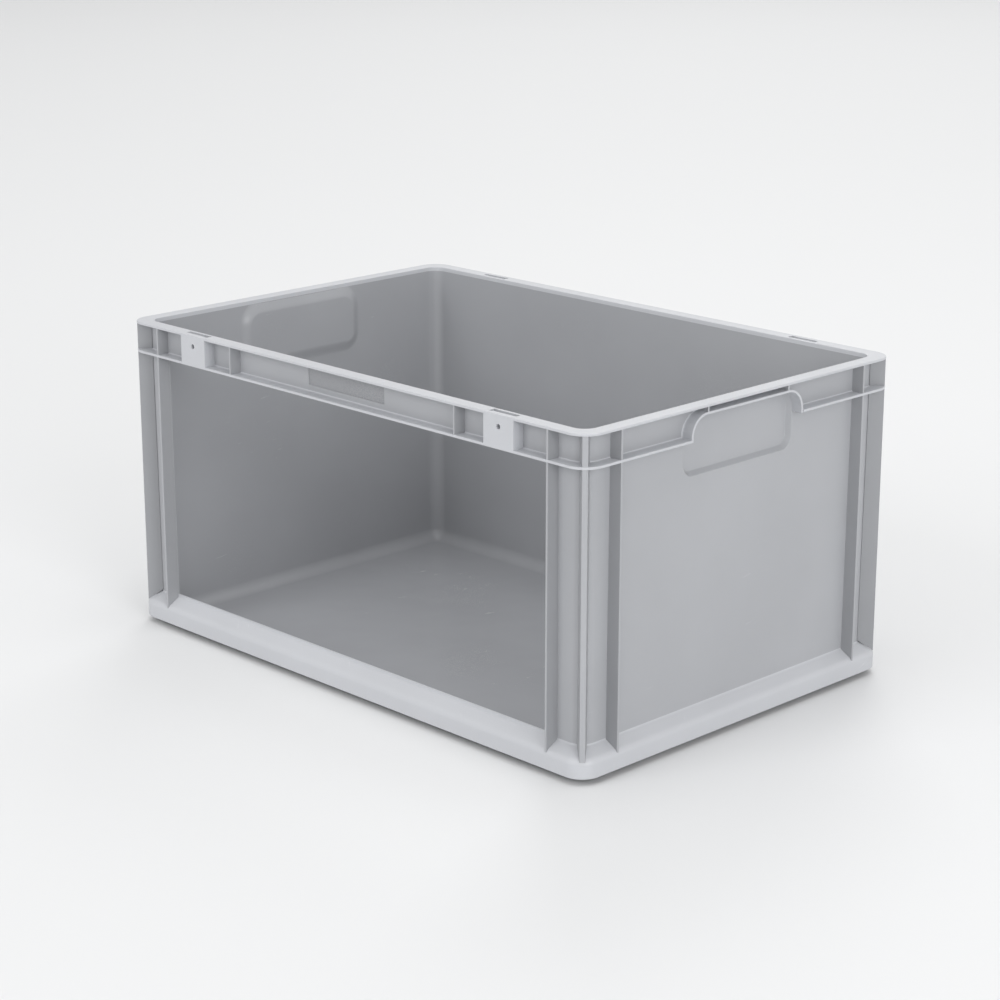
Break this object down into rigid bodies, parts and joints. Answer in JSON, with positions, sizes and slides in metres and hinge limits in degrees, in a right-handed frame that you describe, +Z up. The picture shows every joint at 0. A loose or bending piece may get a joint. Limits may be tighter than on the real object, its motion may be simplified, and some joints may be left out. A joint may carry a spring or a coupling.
{
  "type": "stacking crate",
  "caption": "Rigid stacking crate with a picking window in one long side, ribbed walls, a flat rim over a lower flange, grips in both ends and slotted pads for a lid.",
  "frame": {"origin": "centre of the crate's footprint, on the surface it stands on", "axes": "+Z up; +X along the length; the picking window faces -Y"},
  "size_m": [0.6, 0.4, 0.3],
  "materials": {
    "grey_plastic": "satin moulded polypropylene"
  },
  "bodies": {
    "root": {"back_wall": "grey_plastic", "base_band_back": "grey_plastic", "base_band_front": "grey_plastic", "base_band_left": "grey_plastic", "base_band_right": "grey_plastic", "clip_pad_back_left": "grey_plastic", "clip_pad_back_right": "grey_plastic", "clip_pad_front_left": "grey_plastic", "clip_pad_front_right": "grey_plastic", "corner_rib_back_left": "grey_plastic", "corner_rib_back_right": "grey_plastic", "corner_rib_front_left": "grey_plastic", "corner_rib_front_right": "grey_plastic", "flange_back": "grey_plastic", "flange_front": "grey_plastic", "flange_left_back": "grey_plastic", "flange_left_front": "grey_plastic", "flange_right_back": "grey_plastic", "flange_right_front": "grey_plastic", "floor_panel": "grey_plastic", "front_header": "grey_plastic", "front_jamb_left": "grey_plastic", "front_jamb_right": "grey_plastic", "front_sill": "grey_plastic", "grip_arch_left": "grey_plastic", "grip_arch_right": "grey_plastic", "grip_dish_left": "grey_plastic", "grip_dish_right": "grey_plastic", "grip_riblets_left": "grey_plastic", "grip_riblets_right": "grey_plastic", "header_ribs_back": "grey_plastic", "header_ribs_front": "grey_plastic", "left_wall": "grey_plastic", "post_rib_back_left": "grey_plastic", "post_rib_back_right": "grey_plastic", "post_rib_front_left": "grey_plastic", "post_rib_front_right": "grey_plastic", "right_wall": "grey_plastic", "rim_back": "grey_plastic", "rim_front": "grey_plastic", "rim_left": "grey_plastic", "rim_right": "grey_plastic", "side_rib_back_left": "grey_plastic", "side_rib_back_right": "grey_plastic", "side_rib_front_left": "grey_plastic", "side_rib_front_right": "grey_plastic", "stacking_foot_back": "grey_plastic", "stacking_foot_front": "grey_plastic", "stacking_foot_left": "grey_plastic", "stacking_foot_right": "grey_plastic"}
  },
  "joints": []
}
